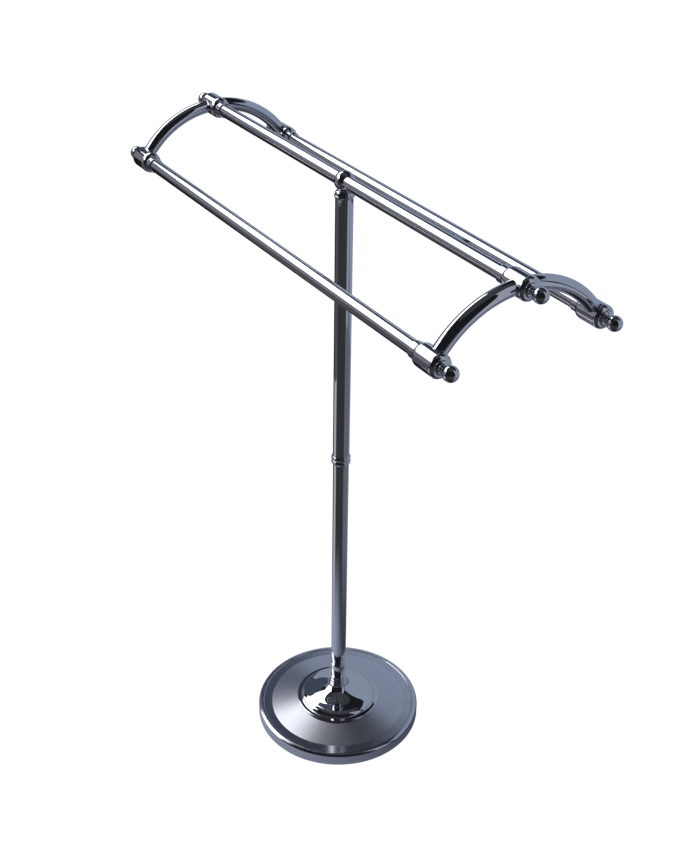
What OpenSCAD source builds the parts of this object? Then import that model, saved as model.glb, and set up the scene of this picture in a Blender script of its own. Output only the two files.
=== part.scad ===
// Free-standing valet stand: a weighted round base, a two-piece post and a
// three-bar towel rack that swivels on the post and tilts in its hub eye.
// Millimetres. +Z is up, +X runs along the bars, the front bar is at -Y.
// The origin is on the floor, at the centre of the base.

/* [Overall] */
// Height of the centre bar's axis above the floor
bar_height = 718; // [600:1:860]
// Length of the rack, over the balls at both ends
rack_length = 636; // [500:1:765]
// Sideways distance from the centre bar to each outer bar
bar_spread = 90.5; // [75:0.5:110]
// Height that the outer bars hang below the centre bar
bar_drop = 49.6; // [40:0.1:60]

/* [Base] */
// Diameter of the base
base_d = 203.2; // [168:0.1:244]
// Height of the base's rim above the floor
rim_height = 18.6; // [15:0.1:23]
// Width of the shoulder and flat ring outside the cone
rim_width = 17; // [14:0.1:21]
// Width of the raised lip that is rolled over at the rim
lip_width = 6.6; // [5.4:0.1:8]
// Height of the cone above the rim's flat ring
cone_rise = 7.4; // [5:0.1:9]
// Sheet thickness of the base cover
cover_wall = 1.5; // [1:0.1:2]
// Thickness of the pad that the base stands on
pad_thickness = 1.6; // [1.2:0.1:3]
// Gap between the floor and the cover's lower edge
cover_lift = 2.2; // [1.8:0.1:4]
// Diameter of the bell flange's edge
bell_d = 104; // [86:1:125]
// Height of the bell flange
bell_height = 25; // [20:0.1:30]
// Wall of the bell flange
bell_wall = 2.6; // [2:0.1:3.2]

/* [Post] */
// Outer diameter of the lower tube
lower_tube_d = 18.3; // [16:0.05:22]
// Outer diameter of the upper tube
upper_tube_d = 19.05; // [17:0.05:23]
// Wall of both post tubes
post_wall = 1.2; // [0.8:0.1:1.6]
// Height of the turned socket between the bell and the lower tube
socket_height = 47.3; // [40:0.1:57]
// Height of the joint ring's underside above the floor
joint_height = 379; // [316:1:456]
// Height of the joint ring
joint_ring_height = 12; // [10:0.1:14.4]
// Outer diameter of the joint ring's two beads
joint_ring_d = 22.2; // [21:0.1:26]
// Diameter of the bead on the top collar
collar_bead_d = 21.4; // [20.5:0.1:25]
// Height of the top collar above the tube
collar_height = 8; // [6.7:0.1:9]
// How far plugs and spigots reach into the post tubes
spigot_length = 20; // [16:0.5:24]
// Diameter of the threaded stud that joins the two tubes
stud_d = 8; // [6:0.5:10]
// Diameter of the bolt that clamps the post to the base
bolt_d = 10; // [8:0.5:12]

/* [Hub] */
// Diameter of the ball-shaped hub
hub_d = 21.8; // [20:0.1:26]
// Diameter of the hub's neck
hub_neck_d = 14; // [13:0.1:16]
// Diameter of the stem that turns in the top collar
stem_d = 10; // [8:0.1:11]
// Diameter of the grub screw that steadies the centre bar
grub_d = 4; // [3:0.1:5]

/* [Rack] */
// Outer diameter of the three bars and the four arms
bar_d = 14.6; // [12.2:0.1:15.4]
// Wall of the bars and arms
bar_wall = 1.2; // [0.8:0.1:1.6]
// Diameter of the stepped ferrules at the bar ends
ferrule_d = 23.4; // [21:0.1:28]
// Length of a ferrule
ferrule_length = 31.4; // [28:0.1:36]
// Rounding at a ferrule's outer end
ferrule_round = 4; // [3.3:0.1:4.2]
// Length of the rounded shoulder at a ferrule's inner end
ferrule_shoulder = 6; // [4:0.1:7.2]
// Distance from a ferrule's outer face to the arm's centreline
arm_inset = 12.9; // [11:0.1:14]
// Diameter of the small collar beside each ferrule
bar_collar_d = 17.4; // [16.4:0.1:18]
// Length of the small collar
bar_collar_length = 8.4; // [7:0.1:10]
// Diameter of the ball finials
ball_d = 15.1; // [12.5:0.1:17]
// Distance from a ferrule's outer face to the ball's centre
ball_reach = 11.8; // [11.2:0.1:14.2]
// Diameter of the pins that fasten the arms
pin_d = 5; // [4:0.1:5.5]

/* [Fits] */
// Radial gap of the pieces that are brazed or screwed together
seat_gap = 0.05; // [0.02:0.01:0.1]
// Radial gap of the turning fits
turn_gap = 0.05; // [0.02:0.01:0.1]

/* [Hidden] */
$fn = 96;

// Sides and rows of the rack
LEFT = -1;
RIGHT = 1;
FRONT = -1;
CENTRE = 0;
REAR = 1;

// Colours of the finishes
CHROME = [0.80, 0.82, 0.86];
CHROME_SHADE = [0.66, 0.68, 0.74];
STEEL = [0.55, 0.55, 0.57];
IRON = [0.22, 0.22, 0.23];
RUBBER = [0.10, 0.10, 0.10];

// Radii worked out from the diameters above
base_r = base_d / 2;
cone_r = base_r - rim_width;
lip_r = base_r - lip_width;
bell_r = bell_d / 2;
lower_tube_r = lower_tube_d / 2;
upper_tube_r = upper_tube_d / 2;
lower_bore_r = lower_tube_r - post_wall;
upper_bore_r = upper_tube_r - post_wall;
joint_ring_r = joint_ring_d / 2;
collar_bead_r = collar_bead_d / 2;
stud_r = stud_d / 2;
bolt_r = bolt_d / 2;
hub_r = hub_d / 2;
hub_neck_r = hub_neck_d / 2;
stem_r = stem_d / 2;
bar_r = bar_d / 2;
bar_bore_r = bar_r - bar_wall;
ferrule_r = ferrule_d / 2;
bar_collar_r = bar_collar_d / 2;
ball_r = ball_d / 2;
pin_r = pin_d / 2;

// Base: the flat ring lies a little below the rolled lip
lip_drop = 0.6;
ring_z = rim_height - lip_drop;
table_z = ring_z + cone_rise;
table_r = bell_r - 2;
lip_round = 5;
hem_round = 1.4;
pad_r = base_r - 6;
pad_hole_r = bolt_r + 9;
bolt_hole_r = bolt_r + 0.4;
head_r = bolt_r * 1.6;
head_h = bolt_d * 0.64;
washer_h = 1.6;
washer_r = bolt_r * 2;
recess_r = washer_r + 1;
recess_top = pad_thickness + head_h + washer_h + 1;

// Bell: edge ring, groove, rounded shoulder, hollow flare and neck
bell_z = table_z;
bell_top = bell_z + bell_height;
edge_h = 2.1;
edge_round = 1.2;
groove_r = bell_r - 5.4;
groove_z = bell_z + edge_h + 0.1;
shoulder_r = bell_r * 0.71;
shoulder_z = bell_z + bell_height * 0.34;
neck_z = bell_top - 3;
bell_neck_r = 10.4;
flare_fall = 0.14;
flare_r = shoulder_r - 3;
flare_z = neck_z - (shoulder_r - bell_neck_r) * flare_fall;
bell_bead_r = 1.1;
bell_boss_r = 15;

// Socket: heights are shares of the socket's own height
socket_z = bell_top;
tube_z = socket_z + socket_height;
socket_cup_r = lower_tube_r + 0.2;
bolt_top = socket_z + socket_height * 0.55;
bead_b_r = 9.8;
bead_a_r = 9.5;
neck_r = 8.5;
barrel_r = 9.2;
bead_c_r = 9.45;
spigot_r = lower_bore_r - seat_gap;

// Joint of the two tubes
lower_bead_r = joint_ring_height * 0.22;
upper_bead_r = joint_ring_height * 0.24;
upper_z = joint_height + joint_ring_height;
stud_reach = spigot_length * 0.8;

// Top collar and hub
neck_gap = 2.6;
collar_top = bar_height - hub_r + neck_gap - 1.2;
upper_top = collar_top - collar_height;
stem_bottom = upper_top - spigot_length - turn_gap;
stem_washer_r = stem_r + 2;
stem_washer_h = 1.2;
stem_screw_r = 2;
stem_screw_head_r = 3.6;
stem_screw_head_h = 2.6;
stem_screw_length = 12;

// Rack: the arms lie on one circle through the three bar axes
rack_half = rack_length / 2;
ball_x = rack_half - ball_r;
ferrule_face = ball_x - ball_reach;
ferrule_foot = ferrule_face - ferrule_length;
ferrule_wall = 6.5;
bar_half = ferrule_face - ferrule_wall;
arm_x = ferrule_face - arm_inset;
arm_circle_r = (pow(bar_spread, 2) + pow(bar_drop, 2)) / (2 * bar_drop);
arm_angle = atan2(bar_spread, arm_circle_r - bar_drop);
plug_length = 14;
shank_r = 2.5;
shank_length = 12;
shank_gap = 0.3;
groove_w = 0.6;
groove_deep = 0.3;

// Arm pins: a plug inside the arm's end with a stud into the ferrule's wall
pin_middle = ferrule_r + 4.4;
pin_turn = pin_middle / arm_circle_r * 180 / PI;
pin_plug_h = 6;
pin_plug_gap = 0.25;
pin_tip = bar_r + 0.6;

// Finial neck: a low dome and two small beads in front of the ball
dome_r = ferrule_r - ferrule_round;
dome_round = 1.9;
neck_bead_r = 4.4;
neck_bead_h = (ball_reach - ball_r - dome_round + 0.5) / 2;

// Points on a circular arc about c, from angle a0 to angle a1
function arc(c, r, a0, a1, n = 8) =
    [for (i = [0:n]) let (a = a0 + (a1 - a0) * i / n) c + r * [cos(a), sin(a)]];

// Points on a quarter ellipse about c, from angle a0 to angle a1
function bow(c, rx, ry, a0, a1, n = 12) =
    [for (i = [0:n]) let (a = a0 + (a1 - a0) * i / n) c + [rx * cos(a), ry * sin(a)]];

// Points raised by fall for each mm they lie inside radius r0
function lean(points, r0, fall) = [for (p = points) [p[0], p[1] + (r0 - p[0]) * fall]];

// Half-round bead of radius b that stands out to radius r at height z
function bead(r, z, b, n = 10) = arc([r - b, z], b, -90, 90, n);

// Height of row y of the rack: the centre bar, or an outer bar below it
function row_z(y) = bar_height - (y == CENTRE ? 0 : bar_drop);

// Solid of revolution from [radius, height] points
module turned(points) {
    rotate_extrude() polygon(points);
}

// Tube standing on z = z0
module tube(r, wall, z0, z1) {
    translate([0, 0, z0])
        difference() {
            cylinder(r = r, h = z1 - z0);
            translate([0, 0, -1]) cylinder(r = r - wall, h = z1 - z0 + 2);
        }
}

// Round rod standing on z = z0
module rod(r, z0, z1) {
    translate([0, 0, z0]) cylinder(r = r, h = z1 - z0);
}

// Places a child made along +Z on a bar's axis, pointing to that end
module at_bar(side, row) {
    translate([0, row * bar_spread, row_z(row)])
        rotate([0, side * 90, 0]) children();
}

// Places a child made along +Z on the arm's tangent, turn degrees from the top,
// pointing down the arm
module on_arm(side, row, turn) {
    translate([side * arm_x, 0, bar_height - arm_circle_r])
        rotate([-row * turn, 0, 0])
            translate([0, 0, arm_circle_r])
                rotate([-row * 90, 0, 0]) children();
}

// Hexagon prism, measured to its corners
module hex(r, h) {
    cylinder(r = r, h = h, $fn = 6);
}

// ---------------------------------------------------------------- base

module floor_pad() {
    color(RUBBER) tube(pad_r, pad_r - pad_hole_r, 0, pad_thickness);
}

// Outline of the cover's outer face, from its hem to the flat table
function cover_face() = concat(
    arc([base_r - hem_round, cover_lift + hem_round], hem_round, -60, 0, 5),
    arc([base_r - lip_round, rim_height - lip_round], lip_round, 0, 90, 10),
    [[lip_r, rim_height], [lip_r - 0.4, ring_z], [cone_r, ring_z], [table_r, table_z]]
);

module base_cover() {
    inner_r = base_r - cover_wall;
    inner_round = lip_round - cover_wall;
    color(CHROME)
        turned(concat(
            cover_face(),
            [[bolt_hole_r, table_z], [bolt_hole_r, table_z - cover_wall]],
            [[table_r, table_z - cover_wall], [cone_r, ring_z - cover_wall]],
            arc([inner_r - inner_round, ring_z - cover_wall - inner_round], inner_round, 90, 0, 6),
            [[inner_r, cover_lift]]
        ));
}

module base_weight() {
    weight_r = base_r - cover_wall - seat_gap;
    top = ring_z - cover_wall - seat_gap;
    color(IRON)
        difference() {
            turned([
                [bolt_hole_r, pad_thickness], [weight_r, pad_thickness],
                [weight_r, top - lip_round], [weight_r - lip_round, top],
                [cone_r, top], [table_r, table_z - cover_wall - seat_gap],
                [bolt_hole_r, table_z - cover_wall - seat_gap]
            ]);
            rod(recess_r, 0, recess_top);
        }
}

module base_bolt() {
    color(STEEL)
        union() {
            translate([0, 0, recess_top - washer_h - head_h]) hex(head_r, head_h);
            rod(bolt_r, recess_top - washer_h - 1, bolt_top);
        }
}

module base_washer() {
    color(STEEL) tube(washer_r, washer_r - bolt_hole_r, recess_top - washer_h, recess_top);
}

// Outline of the bell's face, from its edge to the bead at its neck
function bell_face() = concat(
    [[bell_r, bell_z]],
    arc([bell_r - edge_round, bell_z + edge_h - edge_round], edge_round, 0, 90, 5),
    [[groove_r, groove_z]],
    bow([shoulder_r, groove_z + 0.4], groove_r - 0.4 - shoulder_r, shoulder_z - groove_z - 0.6, 0, 78, 9),
    lean(
        bow([flare_r, flare_z], flare_r - bell_neck_r, flare_z - shoulder_z + 0.2, 270, 180, 15),
        shoulder_r, flare_fall
    ),
    bead(bell_neck_r, bell_top - bell_bead_r, bell_bead_r, 6)
);

module bell_flange() {
    hollow_top = bell_z + bell_height * 0.34 - bell_wall;
    color(CHROME)
        difference() {
            turned(concat(bell_face(), [[bolt_hole_r, bell_top], [bolt_hole_r, bell_z]]));
            turned([
                [bell_boss_r, bell_z - 1], [groove_r - 2, bell_z - 1], [groove_r - 2, bell_z],
                [shoulder_r, hollow_top - 1.2], [bell_boss_r + 6, hollow_top + 0.6],
                [bell_boss_r, hollow_top]
            ]);
        }
}

// ---------------------------------------------------------------- post

// Height of a feature of the socket, as a share of the socket's height
function up(share) = socket_z + socket_height * share;

module lower_socket() {
    color(CHROME_SHADE)
        difference() {
            turned(concat(
                [[0, socket_z], [neck_r, socket_z]],
                bead(bead_b_r, up(0.05), 1.5),
                [[neck_r, up(0.09)]],
                bead(bead_a_r, up(0.143), 1.4),
                [[neck_r, up(0.18)]],
                bow([barrel_r - 1.2, up(0.36)], 1.2, socket_height * 0.16, -58, 58, 10),
                [[neck_r, up(0.53)]],
                bead(bead_c_r, up(0.585), 1.3),
                [[neck_r, up(0.64)], [neck_r, up(0.70)]],
                bow([socket_cup_r - 1, up(0.92)], 1, socket_height * 0.18, -72, 0, 8),
                [[socket_cup_r, tube_z - 0.3], [socket_cup_r - 0.3, tube_z]],
                [[spigot_r, tube_z], [spigot_r, tube_z + spigot_length], [0, tube_z + spigot_length]]
            ));
            rod(bolt_r + seat_gap, socket_z - 1, bolt_top + 1);
        }
}

module lower_tube() {
    color(CHROME) tube(lower_tube_r, post_wall, tube_z, joint_height);
}

module lower_tube_plug() {
    color(STEEL)
        tube(spigot_r, spigot_r - stud_r - seat_gap, joint_height - spigot_length, joint_height);
}

module joint_ring() {
    color(CHROME_SHADE)
        turned(concat(
            [[stud_r + seat_gap, joint_height], [lower_tube_r + 0.5, joint_height]],
            bead(joint_ring_r, joint_height + 0.3 + lower_bead_r, lower_bead_r),
            bead(joint_ring_r, joint_height + 0.3 + 2 * lower_bead_r + upper_bead_r, upper_bead_r),
            [[upper_tube_r + 0.2, upper_z], [stud_r + seat_gap, upper_z]]
        ));
}

module joint_stud() {
    color(STEEL) rod(stud_r, joint_height - stud_reach, upper_z + stud_reach);
}

module upper_tube_plug() {
    plug_r = upper_bore_r - seat_gap;
    color(STEEL) tube(plug_r, plug_r - stud_r - seat_gap, upper_z, upper_z + spigot_length);
}

module upper_tube() {
    color(CHROME) tube(upper_tube_r, post_wall, upper_z, upper_top);
}

module top_collar() {
    plug_r = upper_bore_r - seat_gap;
    bore_r = stem_r + turn_gap;
    widest = upper_top + collar_height * 0.27;
    color(CHROME_SHADE)
        turned(concat(
            [[bore_r, upper_top - spigot_length], [plug_r, upper_top - spigot_length]],
            [[plug_r, upper_top], [upper_tube_r + 0.4, upper_top]],
            arc([collar_bead_r - 1.4, widest], 1.4, -60, 50, 6),
            bow([hub_neck_r + 0.4, widest + 1], collar_bead_r - hub_neck_r - 1.2, collar_height * 0.6, 10, 80, 6),
            [[hub_neck_r + 0.3, collar_top - 0.3], [hub_neck_r + 0.3, collar_top], [bore_r, collar_top]]
        ));
}

// ---------------------------------------------------------------- head

module hub() {
    neck_bottom = collar_top + turn_gap;
    color(CHROME_SHADE)
        difference() {
            union() {
                difference() {
                    translate([0, 0, bar_height]) sphere(r = hub_r);
                    rod(hub_r, bar_height - hub_d, neck_bottom);
                }
                rod(hub_neck_r, neck_bottom, bar_height - hub_r + neck_gap + 2);
                rod(stem_r, stem_bottom, collar_top + 1);
            }
            translate([0, 0, bar_height])
                rotate([0, 90, 0]) cylinder(r = bar_r + turn_gap, h = hub_d + 4, center = true);
            translate([0, 0, bar_height])
                rotate([-90, 0, 0]) cylinder(r = grub_d / 2 + seat_gap, h = hub_d);
            rod(stem_screw_r + seat_gap, stem_bottom - 1, stem_bottom + stem_screw_length + 1);
        }
}

module hub_grub_screw() {
    color(STEEL)
        translate([0, bar_r + 2 * turn_gap, bar_height])
            rotate([-90, 0, 0])
                difference() {
                    cylinder(r = grub_d / 2, h = hub_r - bar_r - 0.6);
                    translate([0, 0, 1.6]) hex(grub_d / 4, hub_r);
                }
}

module stem_washer() {
    color(STEEL)
        tube(stem_washer_r, stem_washer_r - stem_screw_r - seat_gap,
            stem_bottom - stem_washer_h, stem_bottom);
}

module stem_screw() {
    head_top = stem_bottom - stem_washer_h;
    color(STEEL)
        difference() {
            union() {
                rod(stem_screw_head_r, head_top - stem_screw_head_h, head_top);
                rod(stem_screw_r, head_top - 1, stem_bottom + stem_screw_length);
            }
            translate([0, 0, head_top - stem_screw_head_h - 1]) hex(stem_screw_r, 2.6);
        }
}

// ---------------------------------------------------------------- rack

module bar(row) {
    color(CHROME)
        at_bar(RIGHT, row) tube(bar_r, bar_wall, -bar_half, bar_half);
}

module bar_plugs(row) {
    color(STEEL)
        for (side = [LEFT, RIGHT])
            at_bar(side, row)
                tube(bar_bore_r - seat_gap, bar_bore_r - shank_r - 2 * seat_gap,
                    bar_half - plug_length, bar_half);
}

module bar_collar(side, row) {
    color(CHROME_SHADE)
        at_bar(side, row)
            translate([0, 0, ferrule_foot - bar_collar_length])
                turned([
                    [bar_r + seat_gap, 0], [bar_collar_r - 0.6, 0], [bar_collar_r, 0.6],
                    [bar_collar_r, bar_collar_length], [bar_r + seat_gap, bar_collar_length]
                ]);
}

// Holes in a ferrule's wall for the pins of the arms that meet it
module pin_holes(side, row) {
    if (row == CENTRE) {
        for (arm = [FRONT, REAR])
            on_arm(side, arm, pin_turn)
                translate([0, 0, -pin_middle]) cylinder(r = pin_r + seat_gap, h = pin_middle);
    }
    if (row != CENTRE) {
        on_arm(side, row, arm_angle - pin_turn) cylinder(r = pin_r + seat_gap, h = pin_middle);
    }
}

module ferrule(side, row) {
    cap_z = ferrule_length - ferrule_round;
    color(CHROME)
        difference() {
            at_bar(side, row)
                translate([0, 0, ferrule_foot])
                    turned(concat(
                        [[bar_r + seat_gap, 0]],
                        bow([bar_collar_r, ferrule_shoulder], ferrule_r - bar_collar_r, ferrule_shoulder, -84, 0, 9),
                        [[ferrule_r, cap_z - groove_w], [ferrule_r - groove_deep, cap_z - groove_w / 2]],
                        arc([ferrule_r - ferrule_round, ferrule_length - ferrule_round], ferrule_round, 0, 90, 8),
                        [[shank_r + shank_gap, ferrule_length]],
                        [[shank_r + shank_gap, ferrule_length - ferrule_wall]],
                        [[bar_r + seat_gap, ferrule_length - ferrule_wall]]
                    ));
            pin_holes(side, row);
        }
}

module finial(side, row) {
    color(CHROME)
        at_bar(side, row)
            translate([0, 0, ferrule_face])
                union() {
                    translate([0, 0, ball_reach]) sphere(r = ball_r);
                    turned(concat(
                        [[0, -ferrule_wall - shank_length], [shank_r, -ferrule_wall - shank_length]],
                        [[shank_r, 0], [dome_r - 0.3, 0]],
                        bow([neck_bead_r - 1, 0], dome_r - neck_bead_r + 0.7, dome_round, 4, 80, 7),
                        bead(neck_bead_r, dome_round + neck_bead_h / 2, neck_bead_h / 2, 6),
                        bead(neck_bead_r - 0.5, dome_round + neck_bead_h * 1.5, neck_bead_h / 2, 6),
                        [[neck_bead_r - 1.6, ball_reach - ball_r + 1], [0, ball_reach - ball_r + 1]]
                    ));
                }
}

// Curved rod along the arms' circle, from the centre bar to an outer bar
module arm_rod(side, row, r) {
    translate([side * arm_x, 0, bar_height - arm_circle_r])
        mirror([0, row == FRONT ? 1 : 0, 0])
            rotate([0, -90, 0])
                rotate_extrude(angle = arm_angle) translate([arm_circle_r, 0]) circle(r = r);
}

module arm(side, row) {
    cope_r = ferrule_r + seat_gap;
    color(CHROME)
        difference() {
            arm_rod(side, row, bar_r);
            arm_rod(side, row, bar_bore_r);
            at_bar(side, CENTRE) rod(cope_r, arm_x - ferrule_r, arm_x + ferrule_r);
            at_bar(side, row) rod(cope_r, arm_x - ferrule_r, arm_x + ferrule_r);
        }
}

// Plug inside an arm's end, with its stud; the stud points along +Z
module arm_pin() {
    rod(bar_bore_r - pin_plug_gap, -pin_plug_h / 2, pin_plug_h / 2);
    rod(pin_r, 0, pin_middle - pin_tip);
}

module arm_pins(side, row) {
    color(STEEL)
        union() {
            on_arm(side, row, pin_turn) mirror([0, 0, 1]) arm_pin();
            on_arm(side, row, arm_angle - pin_turn) arm_pin();
        }
}

// ---------------------------------------------------------------- assembly

floor_pad();
base_weight();
base_cover();
base_bolt();
base_washer();
bell_flange();
lower_socket();
lower_tube();
lower_tube_plug();
joint_ring();
joint_stud();
upper_tube_plug();
upper_tube();
top_collar();
hub();
hub_grub_screw();
stem_washer();
stem_screw();
bar(CENTRE);  // centre_bar
bar(FRONT);  // front_bar
bar(REAR);  // rear_bar
bar_plugs(CENTRE);  // centre_bar_plugs
bar_plugs(FRONT);  // front_bar_plugs
bar_plugs(REAR);  // rear_bar_plugs

// Each bar end: a small collar, a ferrule and a ball finial
for (end = [["left", LEFT], ["right", RIGHT]])
    for (line = [["front", FRONT], ["centre", CENTRE], ["rear", REAR]]) {
        name = str(line[0], "_", end[0]);
        bar_collar(end[1], line[1]);
        ferrule(end[1], line[1]);
        finial(end[1], line[1]);
    }

// Each arm, with the pins in its two ends
for (end = [["left", LEFT], ["right", RIGHT]])
    for (line = [["front", FRONT], ["rear", REAR]]) {
        name = str(line[0], "_", end[0]);
        arm(end[1], line[1]);
        arm_pins(end[1], line[1]);
    }
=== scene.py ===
"""Looks of the free-standing valet stand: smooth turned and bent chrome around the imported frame.

Lengths of the object are millimetres, as in the part's source. The studio and the shaders use metres.
"""
import math

import bpy
from mathutils import Matrix, Vector


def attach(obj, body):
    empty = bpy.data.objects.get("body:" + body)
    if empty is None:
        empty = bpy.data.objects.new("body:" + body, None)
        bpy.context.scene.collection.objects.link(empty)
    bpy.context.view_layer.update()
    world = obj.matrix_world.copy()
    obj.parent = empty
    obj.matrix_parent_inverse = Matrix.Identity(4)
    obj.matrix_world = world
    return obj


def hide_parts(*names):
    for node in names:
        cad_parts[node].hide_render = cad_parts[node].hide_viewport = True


MM = 0.001

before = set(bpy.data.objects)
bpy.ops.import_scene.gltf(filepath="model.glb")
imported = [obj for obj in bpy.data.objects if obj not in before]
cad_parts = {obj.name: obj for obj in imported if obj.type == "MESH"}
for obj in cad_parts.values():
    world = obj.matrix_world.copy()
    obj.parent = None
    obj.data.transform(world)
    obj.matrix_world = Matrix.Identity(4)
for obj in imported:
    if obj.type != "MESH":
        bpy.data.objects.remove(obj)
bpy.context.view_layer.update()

# ------------------------------------------------------------ dimensions, mm
SEAT_GAP = 0.05
TURN_GAP = 0.05
EASE = 0.15
TUBE_WALL = 1.2

# Base: a cover of sheet metal with a rim, a lip, a flat ring, a cone and a flat table
BASE_R = 101.6
SHEET = 1.5
RIM_FOOT_Z = 2.2
RIM_LOW_Z = 3.6
RIM_Z = 18.6
RIM_ROUND = 4.2
LIP_R = 95.0
LIP_STEP = 0.35
RING_Z = 18.0
CONE_R = 84.6
TABLE_R = 50.0
TABLE_Z = 25.4
BOLT_BORE_R = 5.4

# Bell: an edge ring, a groove, a rounded shoulder, a hollow flare and a bead
BELL_R = 52.0
BELL_HEIGHT = 25.0
BELL_TOP = TABLE_Z + BELL_HEIGHT
GROOVE_R = 47.6
GROOVE_Z = 27.5
SHOULDER_R = 36.92
SHOULDER_WIDE = 9.3
SHOULDER_HIGH = 5.65
FLARE_R = SHOULDER_R - 3
FLARE_Z = 43.69
FLARE_HIGH = 9.99
FLARE_FALL = 0.14
BELL_NECK_R = 10.4
BELL_BEAD_Z = 49.3
BELL_BEAD = 1.1

# Socket, from the bell's top to the lower tube
SOCKET_HEIGHT = 47.3
SOCKET_NECK_R = 8.5
LOW_BEAD_R = 9.8
MIDDLE_BEAD_R = 9.5
BARREL_R = 9.2
BARREL_BOW = 1.2
HIGH_BEAD_R = 9.45
CUP_R = 9.35
CUP_BOW = 1.0
SPIGOT = 20.0
TUBE_Z = BELL_TOP + SOCKET_HEIGHT

# Post: two tubes, the ring between them and the collar on top
LOWER_R = 9.15
UPPER_R = 9.525
SPIGOT_R = LOWER_R - TUBE_WALL - 0.1
RING_BOTTOM = 379.0
RING_HEIGHT = 12.0
RING_TOP = RING_BOTTOM + RING_HEIGHT
RING_R = 11.1
RING_EDGE = 0.3
LOWER_BEAD = 2.64
UPPER_BEAD = 2.88
STUD_BORE_R = 4.05
UPPER_TOP = 700.5
COLLAR_HEIGHT = 8.0
COLLAR_TOP = UPPER_TOP + COLLAR_HEIGHT
SLEEVE = 20.0
SLEEVE_R = 8.25
STEM_R = 5.0
STEM_BOTTOM = 677.0

# Head
BAR_HEIGHT = 718.0
HUB_R = 10.9
NECK_R = 7.0
NECK_TOP = 710.4

# Rack: three bars with collars, ferrules and ball finials, and four arms
RACK_HALF = 318.0
BAR_SPREAD = 90.5
BAR_DROP = 49.6
BAR_R = 7.3
BAR_BORE_R = BAR_R - TUBE_WALL
BALL_R = 7.55
BALL_X = RACK_HALF - BALL_R
BALL_REACH = 11.8
BALL_SINK = 0.5
FACE_X = BALL_X - BALL_REACH
FACE_GAP = 0.02
FLANGE_R = 7.3
DOME_HEIGHT = 1.9
THREAD = 18.5
THREAD_R = 2.5
THREAD_BORE_R = 2.8
FERRULE_LENGTH = 31.4
FERRULE_R = 11.7
FERRULE_SHOULDER = 6.0
FERRULE_ROUND = 4.0
FOOT_X = FACE_X - FERRULE_LENGTH
BAR_INSET = 6.5
BAR_HALF = FACE_X - BAR_INSET
BAR_COLLAR_R = 8.7
BAR_COLLAR_LENGTH = 8.4
BAR_COLLAR_X = FOOT_X - BAR_COLLAR_LENGTH
ARM_INSET = 12.9
ARM_X = FACE_X - ARM_INSET
ARM_CIRCLE = (BAR_SPREAD ** 2 + BAR_DROP ** 2) / (2 * BAR_DROP)
ARM_ANGLE = math.atan2(BAR_SPREAD, ARM_CIRCLE - BAR_DROP)


# ------------------------------------------------------------ profiles
def arc(cx, cz, r, a0, a1, steps=10):
    """Points on an arc about (cx, cz), angles in degrees."""
    return [(cx + r * math.cos(math.radians(a0 + (a1 - a0) * i / steps)),
             cz + r * math.sin(math.radians(a0 + (a1 - a0) * i / steps))) for i in range(steps + 1)]


def bow(cx, cz, rx, rz, a0, a1, steps=20):
    """Points on an elliptical arc about (cx, cz), angles in degrees."""
    return [(cx + rx * math.cos(math.radians(a0 + (a1 - a0) * i / steps)),
             cz + rz * math.sin(math.radians(a0 + (a1 - a0) * i / steps))) for i in range(steps + 1)]


def lean(points, r0, fall):
    """Points raised by fall for each millimetre inside r0."""
    return [(r, z + (r0 - r) * fall) for r, z in points]


def bead(r, z, b, steps=14):
    """Half-round bead of radius b that stands out to radius r."""
    return arc(r - b, z, b, -90, 90, steps)


def rounded(points, steps=5):
    """Points (r, z) or (r, z, fillet) with each fillet cut in as an arc."""
    pts = [Vector(p[:2]) for p in points]
    out = []
    for i, p in enumerate(points):
        cut = p[2] if len(p) > 2 else 0
        if not cut or i in (0, len(points) - 1):
            out.append(tuple(pts[i]))
            continue
        a = (pts[i - 1] - pts[i]).normalized()
        b = (pts[i + 1] - pts[i]).normalized()
        half = math.acos(max(-1.0, min(1.0, a.dot(b)))) / 2
        run = cut / math.tan(half)
        mid = pts[i] + (a + b).normalized() * (cut / math.sin(half))
        start, end = pts[i] + a * run - mid, pts[i] + b * run - mid
        turn = start.angle_signed(end)
        for k in range(steps + 1):
            t = -turn * k / steps
            c, s = math.cos(t), math.sin(t)
            out.append((mid.x + start.x * c - start.y * s, mid.y + start.x * s + start.y * c))
    return out


def clean(points, least=0.004):
    """Drops points that lie on the one before."""
    out = [points[0]]
    for p in points[1:]:
        if math.dist(p, out[-1]) > least:
            out.append(p)
    return out


def side_normals(points, sharp=35):
    """Normals at the start and end of each segment, shared where the corner is not sharp."""
    seg, size = [], []
    for a, b in zip(points, points[1:]):
        d = (b[0] - a[0], b[1] - a[1])
        n = math.hypot(*d)
        seg.append((d[1] / n, -d[0] / n))
        size.append(n)
    starts, ends = list(seg), list(seg)
    limit = math.cos(math.radians(sharp))
    for i in range(len(seg) - 1):
        if seg[i][0] * seg[i + 1][0] + seg[i][1] * seg[i + 1][1] > limit:
            v = [seg[i][k] * size[i] + seg[i + 1][k] * size[i + 1] for k in (0, 1)]
            n = math.hypot(*v)
            ends[i] = starts[i + 1] = (v[0] / n, v[1] / n)
    return starts, ends


AXES = {
    "z": Matrix.Identity(3),
    "+x": Matrix(((0, 0, 1), (0, 1, 0), (-1, 0, 0))),
    "-x": Matrix(((0, 0, -1), (0, 1, 0), (1, 0, 0))),
}


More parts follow.
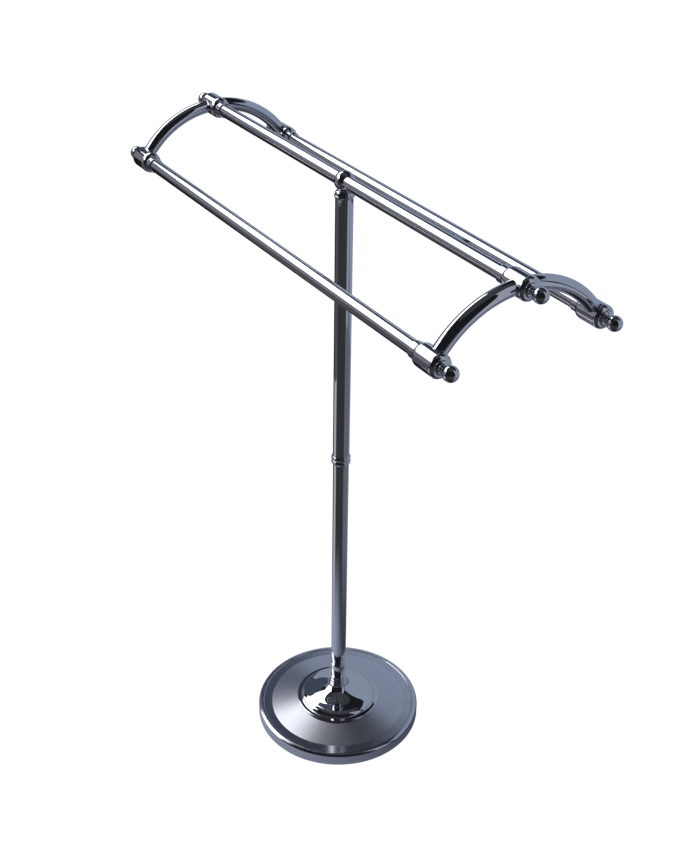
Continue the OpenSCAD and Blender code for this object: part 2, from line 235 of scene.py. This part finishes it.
def turned(points, axis="z", centre=(0, 0, 0), segments=96, at=0.0):
    """Vertices, faces and corner normals of points (r, z) turned about an axis through centre, in mm."""
    points = clean([(max(0.0, r), z + at) for r, z in points])
    starts, ends = side_normals(points)
    spin, move = AXES[axis], Vector(centre)
    verts, rings = [], []
    angles = [2 * math.pi * j / segments for j in range(segments)]
    for r, z in points:
        if r < 1e-6:
            rings.append([len(verts)] * segments)
            verts.append(spin @ Vector((0, 0, z)) + move)
        else:
            rings.append(list(range(len(verts), len(verts) + segments)))
            verts += [spin @ Vector((r * math.cos(a), r * math.sin(a), z)) + move for a in angles]

    def direction(n, a):
        return spin @ Vector((n[0] * math.cos(a), n[0] * math.sin(a), n[1]))

    faces, normals = [], []
    for i in range(len(points) - 1):
        low, high = rings[i], rings[i + 1]
        for j in range(segments):
            k = (j + 1) % segments
            a, b = angles[j], angles[k]
            corners = [(low[j], starts[i], a), (low[k], starts[i], b),
                       (high[k], ends[i], b), (high[j], ends[i], a)]
            if low[j] == low[k]:
                corners.pop(1)
            elif high[j] == high[k]:
                corners.pop(2)
            faces.append([c[0] for c in corners])
            normals += [direction(c[1], c[2]) for c in corners]
    return verts, faces, normals


def piece(name, parts, material, body, slot, *nodes):
    """One object from meshes in mm. It rides on a body and stands for the named CAD nodes."""
    verts, faces, normals = [], [], []
    for v, f, n in parts:
        shift = len(verts)
        verts += [p * MM for p in v]
        faces += [[i + shift for i in face] for face in f]
        normals += n
    mesh = bpy.data.meshes.new(name)
    mesh.from_pydata(verts, [], faces)
    mesh.materials.append(material)
    mesh.polygons.foreach_set("use_smooth", [True] * len(mesh.polygons))
    mesh.normals_split_custom_set([tuple(n.normalized()) for n in normals])
    obj = bpy.data.objects.new(name, mesh)
    bpy.context.scene.collection.objects.link(obj)
    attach(obj, body)
    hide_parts(*nodes)
    return obj


# ------------------------------------------------------------ materials
class Nodes:
    """Short calls that add nodes to a tree and link them."""

    def __init__(self, tree):
        self.tree = tree

    def add(self, kind, **values):
        node = self.tree.nodes.new(kind)
        for key, value in values.items():
            setattr(node, key, value)
        return node

    def put(self, socket, value):
        if isinstance(value, bpy.types.NodeSocket):
            self.tree.links.new(value, socket)
        else:
            socket.default_value = value

    def math(self, op, *values, clamp=False):
        node = self.add("ShaderNodeMath", operation=op, use_clamp=clamp)
        for socket, value in zip(node.inputs, values):
            self.put(socket, value)
        return node.outputs[0]

    def span(self, value, low, high, to_low=0.0, to_high=1.0, smooth=True):
        node = self.add("ShaderNodeMapRange", interpolation_type="SMOOTHSTEP" if smooth else "LINEAR")
        for socket, v in zip(node.inputs, (value, low, high, to_low, to_high)):
            self.put(socket, v)
        return node.outputs[0]

    def noise(self, vector, scale, detail=4.0, rough=0.55):
        node = self.add("ShaderNodeTexNoise")
        self.put(node.inputs["Vector"], vector)
        node.inputs["Scale"].default_value = scale
        node.inputs["Detail"].default_value = detail
        node.inputs["Roughness"].default_value = rough
        return node.outputs["Fac"]

    def radius(self, x, y):
        squares = self.math("ADD", self.math("MULTIPLY", x, x), self.math("MULTIPLY", y, y))
        return self.math("SQRT", squares)

    def mix(self, factor, a, b):
        node = self.add("ShaderNodeMix", data_type="RGBA")
        self.put(node.inputs["Factor"], factor)
        self.put(node.inputs["A"], a)
        self.put(node.inputs["B"], b)
        return node.outputs["Result"]


def new_material(name):
    """Material with its node kit, its shader and the object coordinates."""
    material = bpy.data.materials.new(name)
    material.use_nodes = True
    tree = material.node_tree
    shader = tree.nodes["Principled BSDF"]
    kit = Nodes(tree)
    place = kit.add("ShaderNodeTexCoord").outputs["Object"]
    return material, kit, shader, place


def stretched(kit, place, scale):
    """Object coordinates, each axis scaled on its own."""
    node = kit.add("ShaderNodeMapping")
    node.inputs["Scale"].default_value = scale
    kit.put(node.inputs["Vector"], place)
    return node.outputs["Vector"]


def bump(kit, shader, height, strength, distance):
    """Relief from a height; distance is its depth in metres."""
    node = kit.add("ShaderNodeBump")
    node.inputs["Strength"].default_value = strength
    node.inputs["Distance"].default_value = distance
    kit.put(node.inputs["Height"], height)
    kit.put(shader.inputs["Normal"], node.outputs["Normal"])


def chrome(name, grain, low=0.018, high=0.075, tint=(0.80, 0.82, 0.86), orange=0.004):
    """Mirror chrome: wiping smears, hairline scratches and a trace of orange peel."""
    material, kit, shader, place = new_material(name)
    smear = kit.noise(stretched(kit, place, grain), 9.0, 5.0, 0.6)
    hair = kit.noise(stretched(kit, place, tuple(14 * g for g in grain)), 60.0, 2.0, 0.7)
    hair = kit.span(hair, 0.60, 0.78)
    wiped = kit.span(smear, 0.42, 0.74, low, high)
    rough = kit.math("MULTIPLY_ADD", hair, 0.03, wiped)
    shade = kit.span(smear, 0.35, 0.75)
    worn = tuple(c * 0.95 for c in tint)
    kit.put(shader.inputs["Base Color"], kit.mix(shade, (*tint, 1), (*worn, 1)))
    kit.put(shader.inputs["Roughness"], rough)
    shader.inputs["Metallic"].default_value = 1.0
    bump(kit, shader, kit.noise(place, 140.0, 2.0, 0.5), orange, 0.001)
    return material


def spun_chrome(name):
    """Chrome over a spun sheet: fine turning rings under the plate, softer than a mirror."""
    material, kit, shader, place = new_material(name)
    xyz = kit.add("ShaderNodeSeparateXYZ")
    kit.put(xyz.inputs[0], place)
    radius = kit.radius(xyz.outputs[0], xyz.outputs[1])
    line = kit.add("ShaderNodeCombineXYZ")
    kit.put(line.inputs[0], kit.math("MULTIPLY", radius, 900.0))
    kit.put(line.inputs[1], kit.math("MULTIPLY", xyz.outputs[2], 300.0))
    rings = kit.noise(line.outputs[0], 1.0, 3.0, 0.6)
    cloud = kit.noise(place, 22.0, 4.0, 0.6)
    on_cone = kit.span(radius, (CONE_R + 0.9) * MM, (CONE_R - 1.1) * MM)
    rough = kit.math("MULTIPLY_ADD", on_cone, 0.15, kit.span(cloud, 0.3, 0.75, 0.11, 0.135))
    rough = kit.math("MULTIPLY_ADD", rings, 0.04, rough)
    shade = kit.math("MULTIPLY", kit.math("ADD", rings, cloud), 0.5)
    tone = kit.mix(kit.span(shade, 0.35, 0.65), (0.78, 0.80, 0.85, 1), (0.71, 0.73, 0.79, 1))
    kit.put(shader.inputs["Base Color"], tone)
    kit.put(shader.inputs["Roughness"], rough)
    shader.inputs["Metallic"].default_value = 1.0
    bump(kit, shader, rings, 0.05, 0.0002)
    return material


def zinc(name):
    """Plated steel of the hidden fasteners: drawn lines, dull patches and dark specks."""
    material, kit, shader, place = new_material(name)
    lines = kit.noise(stretched(kit, place, (60, 60, 900)), 1.0, 3.0, 0.65)
    patch = kit.noise(place, 180.0, 4.0, 0.6)
    specks = kit.span(kit.noise(place, 900.0, 1.0, 0.5), 0.70, 0.78)
    tone = kit.mix(kit.span(patch, 0.35, 0.7), (0.60, 0.60, 0.62, 1), (0.44, 0.45, 0.47, 1))
    kit.put(shader.inputs["Base Color"], kit.mix(specks, tone, (0.20, 0.19, 0.18, 1)))
    kit.put(shader.inputs["Roughness"], kit.span(patch, 0.3, 0.7, 0.26, 0.42))
    shader.inputs["Metallic"].default_value = 1.0
    bump(kit, shader, lines, 0.15, 0.0003)
    return material


def cast_iron(name):
    """Sand-cast iron: pitted, nearly black, with a little rust in the low spots."""
    material, kit, shader, place = new_material(name)
    grain = kit.noise(place, 420.0, 6.0, 0.65)
    pits = kit.add("ShaderNodeTexVoronoi")
    kit.put(pits.inputs["Vector"], place)
    pits.inputs["Scale"].default_value = 260.0
    rust = kit.span(kit.noise(place, 40.0, 5.0, 0.6), 0.56, 0.72)
    tone = kit.mix(kit.span(grain, 0.3, 0.7), (0.045, 0.045, 0.048, 1), (0.085, 0.083, 0.082, 1))
    kit.put(shader.inputs["Base Color"], kit.mix(rust, tone, (0.10, 0.055, 0.035, 1)))
    kit.put(shader.inputs["Roughness"], kit.span(grain, 0.3, 0.7, 0.55, 0.8))
    shader.inputs["Metallic"].default_value = 0.35
    bump(kit, shader, kit.math("ADD", grain, pits.outputs["Distance"]), 0.5, 0.0006)
    return material


def rubber(name):
    """Moulded rubber: a matt black with fine texture and grey dust."""
    material, kit, shader, place = new_material(name)
    grain = kit.noise(place, 1500.0, 3.0, 0.6)
    dust = kit.span(kit.noise(place, 30.0, 6.0, 0.7), 0.5, 0.8)
    kit.put(shader.inputs["Base Color"], kit.mix(dust, (0.018, 0.018, 0.019, 1), (0.055, 0.053, 0.05, 1)))
    kit.put(shader.inputs["Roughness"], kit.span(grain, 0.3, 0.7, 0.62, 0.82))
    bump(kit, shader, grain, 0.35, 0.0003)
    return material


POST_CHROME = chrome("chrome_post", (6.0, 6.0, 0.7))
BAR_CHROME = chrome("chrome_bars", (0.7, 6.0, 6.0))
TURNED_CHROME = chrome("chrome_turned", (4.0, 4.0, 4.0), low=0.012, high=0.05)
COVER_CHROME = spun_chrome("chrome_spun_cover")
ZINC = zinc("zinc_steel")
IRON = cast_iron("cast_iron")
RUBBER = rubber("rubber")
CHROME = "polished_chrome"

# ------------------------------------------------------------ base
cover = rounded(
    [(BASE_R - SHEET, RIM_LOW_Z), (BASE_R - 1.4, RIM_FOOT_Z, 0.3), (BASE_R - 0.9, RIM_FOOT_Z, 0.3),
     (BASE_R, RIM_LOW_Z, 1.0), (BASE_R, RIM_Z, RIM_ROUND), (LIP_R, RIM_Z, 0.2),
     (LIP_R - LIP_STEP, RING_Z, 0.2), (CONE_R, RING_Z, 1.6), (TABLE_R, TABLE_Z, 1.0),
     (BOLT_BORE_R, TABLE_Z), (BOLT_BORE_R, TABLE_Z - SHEET), (TABLE_R, TABLE_Z - SHEET),
     (CONE_R, RING_Z - SHEET), (BASE_R - 5, RING_Z - SHEET, 3.4), (BASE_R - SHEET, 14.0),
     (BASE_R - SHEET, RIM_LOW_Z)], 8)
piece("base_cover_spun", [turned(cover, segments=192)], COVER_CHROME, "stand", "satin_chrome", "base_cover")

edge_ring = rounded([(BOLT_BORE_R, TABLE_Z), (BELL_R, TABLE_Z, 0.2), (BELL_R, GROOVE_Z, 1.2),
                     (GROOVE_R, GROOVE_Z, 0.5), (GROOVE_R - 0.8, GROOVE_Z + 0.1)], 8)
shoulder = bow(SHOULDER_R, GROOVE_Z + 0.4, SHOULDER_WIDE, SHOULDER_HIGH, 2, 78, 26)
flare = bow(FLARE_R, FLARE_Z, FLARE_R - BELL_NECK_R, FLARE_HIGH, 270, 180, 40)
bell = ([(BOLT_BORE_R, TABLE_Z)] + edge_ring + shoulder + lean(flare, SHOULDER_R, FLARE_FALL)
        + bead(BELL_NECK_R, BELL_BEAD_Z, BELL_BEAD) + [(BOLT_BORE_R, BELL_TOP), (BOLT_BORE_R, TABLE_Z)])
piece("bell_turned", [turned(bell, segments=160)], TURNED_CHROME, "stand", CHROME, "bell_flange")


# ------------------------------------------------------------ post
def up(share):
    """Height at a share of the socket."""
    return BELL_TOP + SOCKET_HEIGHT * share


socket = ([(0, BELL_TOP), (SOCKET_NECK_R, BELL_TOP)]
          + bead(LOW_BEAD_R, up(0.05), 1.5) + [(SOCKET_NECK_R, up(0.09))]
          + bead(MIDDLE_BEAD_R, up(0.143), 1.4) + [(SOCKET_NECK_R, up(0.18))]
          + bow(BARREL_R - BARREL_BOW, up(0.36), BARREL_BOW, SOCKET_HEIGHT * 0.16, -58, 58, 24)
          + [(SOCKET_NECK_R, up(0.53))]
          + bead(HIGH_BEAD_R, up(0.585), 1.3) + [(SOCKET_NECK_R, up(0.64)), (SOCKET_NECK_R, up(0.70))]
          + bow(CUP_R - CUP_BOW, up(0.92), CUP_BOW, SOCKET_HEIGHT * 0.18, -72, 0, 20)
          + rounded([(CUP_R, up(0.95)), (CUP_R, TUBE_Z, 0.3), (SPIGOT_R, TUBE_Z)], 4)
          + [(SPIGOT_R, TUBE_Z + SPIGOT), (0, TUBE_Z + SPIGOT)])
piece("socket_turned", [turned(socket, segments=112)], TURNED_CHROME, "stand", CHROME, "lower_socket")


def tube_profile(r, z0, z1):
    """Closed outline of a tube with lightly broken edges."""
    middle = (z0 + z1) / 2
    bore = r - TUBE_WALL
    return rounded([(bore, middle), (bore, z0, EASE), (r, z0, EASE), (r, middle), (r, z1, EASE),
                    (bore, z1, EASE), (bore, middle)], 3)


lower_tube = turned(tube_profile(LOWER_R, TUBE_Z, RING_BOTTOM), segments=128)
piece("post_lower_tube", [lower_tube], POST_CHROME, "stand", CHROME, "lower_tube")
upper_tube = turned(tube_profile(UPPER_R, RING_TOP, UPPER_TOP), segments=128)
piece("post_upper_tube", [upper_tube], POST_CHROME, "stand", CHROME, "upper_tube")

LOWER_BEAD_Z = RING_BOTTOM + RING_EDGE + LOWER_BEAD
UPPER_BEAD_Z = RING_BOTTOM + RING_EDGE + 2 * LOWER_BEAD + UPPER_BEAD
ring = ([(STUD_BORE_R, RING_BOTTOM), (9.55, RING_BOTTOM), (9.65, RING_BOTTOM + 0.25)]
        + arc(RING_R - LOWER_BEAD, LOWER_BEAD_Z, LOWER_BEAD, -70, 68, 18)
        + arc(RING_R - UPPER_BEAD, UPPER_BEAD_Z, UPPER_BEAD, -66, 72, 18)
        + [(UPPER_R + 0.15, RING_TOP - 0.2), (UPPER_R + 0.05, RING_TOP), (STUD_BORE_R, RING_TOP),
           (STUD_BORE_R, RING_BOTTOM)])
piece("joint_ring_turned", [turned(ring, segments=112)], TURNED_CHROME, "stand", CHROME, "joint_ring")

STEM_BORE_R = STEM_R + TURN_GAP
top = ([(STEM_BORE_R, UPPER_TOP - SLEEVE), (SLEEVE_R, UPPER_TOP - SLEEVE), (SLEEVE_R, UPPER_TOP),
        (UPPER_R + 0.3, UPPER_TOP), (UPPER_R + 0.4, UPPER_TOP + 0.3)]
       + arc(9.3, UPPER_TOP + 2.16, 1.4, -60, 55, 12)
       + bow(7.4, UPPER_TOP + 3.16, 2.6, 4.75, 12, 80, 16)
       + rounded([(7.35, COLLAR_TOP - 0.4), (7.3, COLLAR_TOP, 0.2), (STEM_BORE_R, COLLAR_TOP)], 4)
       + [(STEM_BORE_R, UPPER_TOP - SLEEVE)])
piece("top_collar_turned", [turned(top, segments=112)], TURNED_CHROME, "stand", CHROME, "top_collar")

# ------------------------------------------------------------ head
BORE = BAR_R + TURN_GAP
edge = math.degrees(math.asin((BORE + 0.25) / HUB_R))
mouth = HUB_R * math.cos(math.radians(edge))
ball = ([(BORE, 0.0), (BORE, -mouth + 0.35), (BORE + 0.02, -mouth + 0.2)]
        + arc(0, 0, HUB_R, -90 + edge, 90 - edge, 60)
        + [(BORE + 0.02, mouth - 0.2), (BORE, mouth - 0.35), (BORE, 0.0)])
NECK_BOTTOM = COLLAR_TOP + TURN_GAP
neck = ([(0, STEM_BOTTOM), (STEM_R, STEM_BOTTOM), (STEM_R, NECK_BOTTOM)]
        + rounded([(STEM_R, NECK_BOTTOM), (NECK_R, NECK_BOTTOM, 0.3), (NECK_R, NECK_TOP - 0.4)], 4)
        + [(NECK_R, NECK_TOP), (0, NECK_TOP)])
hub = [turned(ball, "+x", (0, 0, BAR_HEIGHT), 128), turned(neck, segments=96)]
piece("hub_ball", hub, TURNED_CHROME, "head", CHROME, "hub")

# ------------------------------------------------------------ rack
rows = {"front": -1, "centre": 0, "rear": 1}
sides = {"left": "-x", "right": "+x"}


def row_place(row):
    """Middle of a row's bar."""
    return (0, row * BAR_SPREAD, BAR_HEIGHT - (BAR_DROP if row else 0))


for name, row in rows.items():
    bar = turned(tube_profile(BAR_R, -BAR_HALF, BAR_HALF), "+x", row_place(row), 112)
    piece(f"{name}_bar_tube", [bar], BAR_CHROME, "rack", CHROME, f"{name}_bar")

SEAT_R = BAR_R + SEAT_GAP
bar_collar = rounded([(SEAT_R, 0), (BAR_COLLAR_R - 0.1, 0, 0.5), (BAR_COLLAR_R, BAR_COLLAR_LENGTH, 0.3),
                      (SEAT_R, BAR_COLLAR_LENGTH)], 5) + [(SEAT_R, 0)]

BEND = FERRULE_LENGTH - FERRULE_ROUND
POCKET = FERRULE_LENGTH - BAR_INSET
ferrule = ([(SEAT_R, 0), (BAR_COLLAR_R + 0.2, 0.02)]
           + bow(BAR_COLLAR_R, FERRULE_SHOULDER, FERRULE_R - BAR_COLLAR_R, FERRULE_SHOULDER, -82, 0, 24)
           + rounded([(FERRULE_R, FERRULE_SHOULDER + 1), (FERRULE_R, BEND - 0.6, 0.12),
                      (FERRULE_R - 0.3, BEND - 0.3, 0.1), (FERRULE_R, BEND)], 3)
           + arc(FERRULE_R - FERRULE_ROUND, BEND, FERRULE_ROUND, 0, 86, 18)
           + rounded([(7.7, FERRULE_LENGTH), (THREAD_BORE_R, FERRULE_LENGTH, 0.1), (THREAD_BORE_R, POCKET),
                      (SEAT_R, POCKET), (SEAT_R, 0)], 3))

bead_height = (BALL_REACH - BALL_R - DOME_HEIGHT + BALL_SINK) / 2
at_neck = math.degrees(math.acos(3.0 / BALL_R))
finial = ([(0, -THREAD), (THREAD_R, -THREAD), (THREAD_R, FACE_GAP), (FLANGE_R, FACE_GAP)]
          + rounded([(FLANGE_R, FACE_GAP), (FLANGE_R + 0.15, 0.35, 0.2), (FLANGE_R, 0.7)], 3)
          + bow(3.6, 0.2, 3.7, 1.7, 16, 78, 14)
          + [(3.7, DOME_HEIGHT + 0.05)]
          + bead(4.4, DOME_HEIGHT + bead_height / 2, bead_height / 2, 12)[1:-1]
          + bead(3.9, DOME_HEIGHT + bead_height * 1.5, bead_height / 2, 12)[1:-1]
          + arc(0, BALL_REACH, BALL_R, -at_neck, 90, 56))

END_PIECES = [
    # what it is, name's ending, outline, steps round, distance from the middle
    ("collar", "collar_turned", bar_collar, 96, BAR_COLLAR_X),
    ("ferrule", "ferrule_turned", ferrule, 112, FOOT_X),
    ("finial", "ball_finial", finial, 80, FACE_X),
]
for name, row in rows.items():
    for side, axis in sides.items():
        for node, ending, outline, segments, at in END_PIECES:
            shape = turned(outline, axis, row_place(row), segments, at)
            piece(f"{name}_{side}_{ending}", [shape], TURNED_CHROME, "rack", CHROME, f"{name}_{side}_{node}")


def bent_arm(side, row, around=96, along=72):
    """Tube bent on the arms' circle, with each end cut to the ferrule it sits on."""
    x0 = ARM_X * (1 if side == "right" else -1)
    centre_z = BAR_HEIGHT - ARM_CIRCLE
    cope = FERRULE_R + SEAT_GAP
    verts, normals_at, faces, normals = [], [], [], []

    def station(r, phi, t):
        """Point and normal at phi round the tube of radius r, at a share t of its length."""
        rho = ARM_CIRCLE + r * math.cos(phi)
        off = math.acos((rho ** 2 + ARM_CIRCLE ** 2 - cope ** 2) / (2 * rho * ARM_CIRCLE))
        th = off + (ARM_ANGLE - 2 * off) * t
        out = Vector((0, row * math.sin(th), math.cos(th)))
        p = Vector((x0 + r * math.sin(phi), 0, centre_z)) + out * rho
        n = out * math.cos(phi) + Vector((math.sin(phi), 0, 0))
        return p, n

    def sheet(r, flip):
        """Adds the outer skin or the bore, and gives the number of its first vertex."""
        first = len(verts)
        for i in range(along + 1):
            for j in range(around):
                p, n = station(r, 2 * math.pi * j / around, i / along)
                verts.append(p)
                normals_at.append(-n if flip else n)
        for i in range(along):
            for j in range(around):
                k = (j + 1) % around
                quad = [first + i * around + j, first + i * around + k,
                        first + (i + 1) * around + k, first + (i + 1) * around + j]
                quad = quad if flip == (row < 0) else quad[::-1]
                faces.append(quad)
                normals.extend(normals_at[q] for q in quad)
        return first

    outer, inner = sheet(BAR_R, False), sheet(BAR_BORE_R, True)
    for i in (0, along):
        for j in range(around):
            k = (j + 1) % around
            quad = [outer + i * around + j, outer + i * around + k,
                    inner + i * around + k, inner + i * around + j]
            quad = quad if (i == 0) == (row > 0) else quad[::-1]
            a, b, c = (verts[q] for q in quad[:3])
            n = (b - a).cross(c - b)
            faces.append(quad)
            normals.extend([n] * 4)
    return verts, faces, normals


for name in ("front", "rear"):
    for side in sides:
        arm = bent_arm(side, rows[name])
        piece(f"{name}_{side}_arm_bent", [arm], TURNED_CHROME, "rack", CHROME, f"{name}_{side}_arm")

# ------------------------------------------------------------ carried-over CAD nodes
finishes = {"base_weight": IRON, "floor_pad": RUBBER}
for name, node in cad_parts.items():
    if not node.hide_render:
        node.data.materials.clear()
        node.data.materials.append(finishes.get(name, ZINC))

# ------------------------------------------------------------ studio
# Soft-edged zones of light and shade that the chrome reflects
PANELS = [
    # azimuth from, to, edge, elevation from, to, edge (degrees), colour
    (-180.0, 180.0, 0.5, 63.0, 91.0, 4.0, (0.045, 0.047, 0.052)),    # ceiling
    (150.0, 186.0, 4.0, -14.0, 62.0, 4.0, (0.055, 0.068, 0.105)),    # far wall in shade
    (186.0, 252.0, 6.0, -6.0, 24.0, 8.0, (0.20, 0.20, 0.23)),        # wall under the window
    (206.0, 252.0, 4.0, -50.0, -19.0, 5.0, (0.42, 0.42, 0.47)),      # floor lit by the window
    (86.0, 162.0, 16.0, -66.0, -4.0, 10.0, (0.24, 0.24, 0.31)),      # floor behind
    (4.0, 86.0, 12.0, -66.0, -6.0, 12.0, (0.13, 0.14, 0.19)),        # floor on the right
    (-108.0, 4.0, 4.0, -60.0, -8.0, 14.0, (0.036, 0.038, 0.038)),    # floor in front
]
DARK = (0.011, 0.011, 0.014)


def studio():
    """World light: the panels laid over the dark, in turn."""
    world = bpy.data.worlds.new("studio")
    bpy.context.scene.world = world
    world.use_nodes = True
    tree = world.node_tree
    kit = Nodes(tree)
    xyz = kit.add("ShaderNodeSeparateXYZ")
    kit.put(xyz.inputs[0], kit.add("ShaderNodeTexCoord").outputs["Generated"])
    azimuth = kit.math("DEGREES", kit.math("ARCTAN2", xyz.outputs[1], xyz.outputs[0]))
    height = kit.math("DEGREES", kit.math("ARCSINE", xyz.outputs[2]))
    colour = (*DARK, 1)
    for a0, a1, soft_a, e0, e1, soft_e, tint in PANELS:
        middle, half = (a0 + a1) / 2, (a1 - a0) / 2
        away = kit.math("ABSOLUTE", kit.math("WRAP", kit.math("SUBTRACT", azimuth, middle), 180.0, -180.0))
        mask = kit.span(away, half + soft_a / 2, half - soft_a / 2)
        mask = kit.math("MULTIPLY", mask, kit.span(height, e0 - soft_e / 2, e0 + soft_e / 2))
        mask = kit.math("MULTIPLY", mask, kit.span(height, e1 + soft_e / 2, e1 - soft_e / 2))
        colour = kit.mix(mask, colour, (*tint, 1))
    background = tree.nodes["Background"]
    kit.put(background.inputs["Color"], colour)
    background.inputs["Strength"].default_value = 1.0


def emitter(name):
    """Material that only glows, with its node kit, its emission node and its surface socket."""
    material = bpy.data.materials.new(name)
    material.use_nodes = True
    tree = material.node_tree
    tree.nodes.clear()
    kit = Nodes(tree)
    emission = kit.add("ShaderNodeEmission")
    surface = kit.add("ShaderNodeOutputMaterial").inputs["Surface"]
    kit.put(surface, emission.outputs[0])
    return material, kit, emission, surface


def glow(name, colour, strength=1.0):
    material, kit, emission, _ = emitter(name)
    kit.put(emission.inputs["Color"], (*colour, 1))
    kit.put(emission.inputs["Strength"], strength)
    return material


def polar(azimuth, r, z):
    """Place at an azimuth in degrees, a distance from the post's axis and a height."""
    a = math.radians(azimuth)
    return (r * math.cos(a), r * math.sin(a), z)


def card(name, points, faces, material):
    """A light or dark card of the studio that only reflections see, unless it is made visible."""
    mesh = bpy.data.meshes.new(name)
    mesh.from_pydata(points, [], faces)
    mesh.materials.append(material)
    obj = bpy.data.objects.new(name, mesh)
    bpy.context.scene.collection.objects.link(obj)
    obj.visible_camera = False
    return obj


def wall(name, azimuth, away, left, right, low, high, material):
    """Flat upright card, square to a line from the post, left and right as seen from the post."""
    a = math.radians(azimuth)
    centre = Vector((math.cos(a), math.sin(a), 0)) * away
    side = Vector((-math.sin(a), math.cos(a), 0))
    p, q = centre + side * left, centre - side * right
    corners = [(p.x, p.y, low), (q.x, q.y, low), (q.x, q.y, high), (p.x, p.y, high)]
    return card(name, corners, [(0, 1, 2, 3)], material)


def curtain(name, r, stations, material):
    """Upright card curved about the post. Stations are azimuth, bottom and top."""
    points = [polar(a, r, low) for a, low, _ in stations] + [polar(a, r, high) for a, _, high in stations]
    n = len(stations)
    return card(name, points, [(i, i + 1, n + i + 1, n + i) for i in range(n - 1)], material)


def two_sided(name, front, back):
    """Glow of one colour from above and another from below."""
    material, kit, emission, _ = emitter(name)
    side = kit.add("ShaderNodeNewGeometry").outputs["Backfacing"]
    kit.put(emission.inputs["Color"], kit.mix(side, (*front, 1), (*back, 1)))
    return material


def board_glow():
    """Table round the base: lit from the window side, shaded on the other, and fading outward."""
    material, kit, emission, surface = emitter("board_glow")
    xyz = kit.add("ShaderNodeSeparateXYZ")
    kit.put(xyz.inputs[0], kit.add("ShaderNodeTexCoord").outputs["Object"])
    x, y = xyz.outputs[0], xyz.outputs[1]
    a = math.radians(WINDOW_SIDE)
    along = kit.math("ADD", kit.math("MULTIPLY", x, math.cos(a)), kit.math("MULTIPLY", y, math.sin(a)))
    lit = kit.mix(kit.span(along, -0.13, 0.13, smooth=False), (*BOARD_SHADE, 1), (*BOARD_LIGHT, 1))
    kit.put(emission.inputs["Color"], lit)
    both = kit.add("ShaderNodeMixShader")
    kit.put(both.inputs[0], kit.span(kit.radius(x, y), 0.12, 0.40))
    kit.put(both.inputs[1], emission.outputs[0])
    kit.put(both.inputs[2], kit.add("ShaderNodeBsdfTransparent").outputs[0])
    kit.put(surface, both.outputs[0])
    return material


WINDOW = (1.9, 1.9, 1.95)
PANEL = (0.27, 0.31, 0.405)
STRIP = (0.33, 0.35, 0.42)
WINDOW_SIDE = -130.0
BOARD_SHADE = (0.045, 0.05, 0.075)
BOARD_LIGHT = (0.34, 0.36, 0.46)
BOARD_R = 0.42
SHELF_TOP = WINDOW
SHELF_UNDER = (0.085, 0.085, 0.095)
SHELF_Z = 0.33
WINDOW_R = 1.5
PALE = 1.05
FLOOR_HALF = 30.0
FLOOR_Z = -0.0004
BACKDROP_R = 29.0

studio()
corners = [(x * FLOOR_HALF, y * FLOOR_HALF, FLOOR_Z) for x, y in ((-1, -1), (1, -1), (1, 1), (-1, 1))]
floor = card("floor", corners, [(0, 1, 2, 3)], glow("pale_floor", (1.0, 1.0, 1.0), PALE))
backdrop = curtain("backdrop", BACKDROP_R, [(a, -0.5, 60.0) for a in range(0, 361, 15)],
                   glow("pale_wall", (1.0, 1.0, 1.0), PALE))
for pale in (floor, backdrop):
    pale.visible_camera = True
    pale.visible_glossy = False
    pale.visible_diffuse = False

# azimuth, bottom and top
panes = [(164, 1.62, 2.80), (175, 1.50, 2.78), (190, 1.34, 2.70), (205, 1.24, 2.55),
         (220, 1.24, 2.35), (235, 1.24, 2.12), (248, 1.24, 1.95), (253, 1.24, 1.90)]
curtain("window", WINDOW_R, panes, glow("window_glow", WINDOW))
# azimuth and distance, along the near edge and back along the far one
shelf_edge = [(203, 0.31), (217, 0.29), (235, 0.29), (250, 0.30),
              (254, 3.0), (240, 3.3), (222, 3.3), (208, 3.0)]
card("shelf", [polar(a, r, SHELF_Z) for a, r in shelf_edge], [(0, 1, 6, 7), (1, 2, 5, 6), (2, 3, 4, 5)],
     two_sided("shelf_glow", SHELF_TOP, SHELF_UNDER))
wall("panel", 95, 1.0, 2.1, 1.28, 0.0, 1.46, glow("panel_glow", PANEL))
wall("strip", 25, 1.1, 0.21, 0.21, 0.0, 2.3, glow("strip_glow", STRIP))
board = [polar(a, BOARD_R, -0.0002) for a in range(0, 360, 4)]
card("board", board, [list(range(len(board)))], board_glow())

# ------------------------------------------------------------ camera
# From the right front, above the rack, looking down at the stand
CAMERA_PLACE = Vector((1.06605, -0.67654, 1.19462))
CAMERA_AZIMUTH = math.radians(57.136)
CAMERA_PITCH = math.radians(31.342)
CAMERA_ROLL = math.radians(0.981)
LENS_MM = 55.25
LENS_SHIFT = 0.000585    # share of the frame's long side

forward = Vector((-math.sin(CAMERA_AZIMUTH) * math.cos(CAMERA_PITCH),
                  math.cos(CAMERA_AZIMUTH) * math.cos(CAMERA_PITCH), -math.sin(CAMERA_PITCH)))
level = Vector((math.cos(CAMERA_AZIMUTH), math.sin(CAMERA_AZIMUTH), 0))
upright = level.cross(forward)
right = math.cos(CAMERA_ROLL) * level + math.sin(CAMERA_ROLL) * upright
up_axis = -math.sin(CAMERA_ROLL) * level + math.cos(CAMERA_ROLL) * upright
camera_data = bpy.data.cameras.new("camera")
camera_data.lens = LENS_MM
camera_data.sensor_width = 36.0
camera_data.shift_x = -LENS_SHIFT
camera_data.shift_y = LENS_SHIFT
camera_data.clip_start = 0.05
camera_data.clip_end = 200.0
camera = bpy.data.objects.new("camera", camera_data)
bpy.context.scene.collection.objects.link(camera)
turn = Matrix((right, up_axis, -forward)).transposed().to_4x4()
camera.matrix_world = Matrix.Translation(CAMERA_PLACE) @ turn
bpy.context.scene.camera = camera
bpy.context.scene.view_settings.view_transform = "Standard"
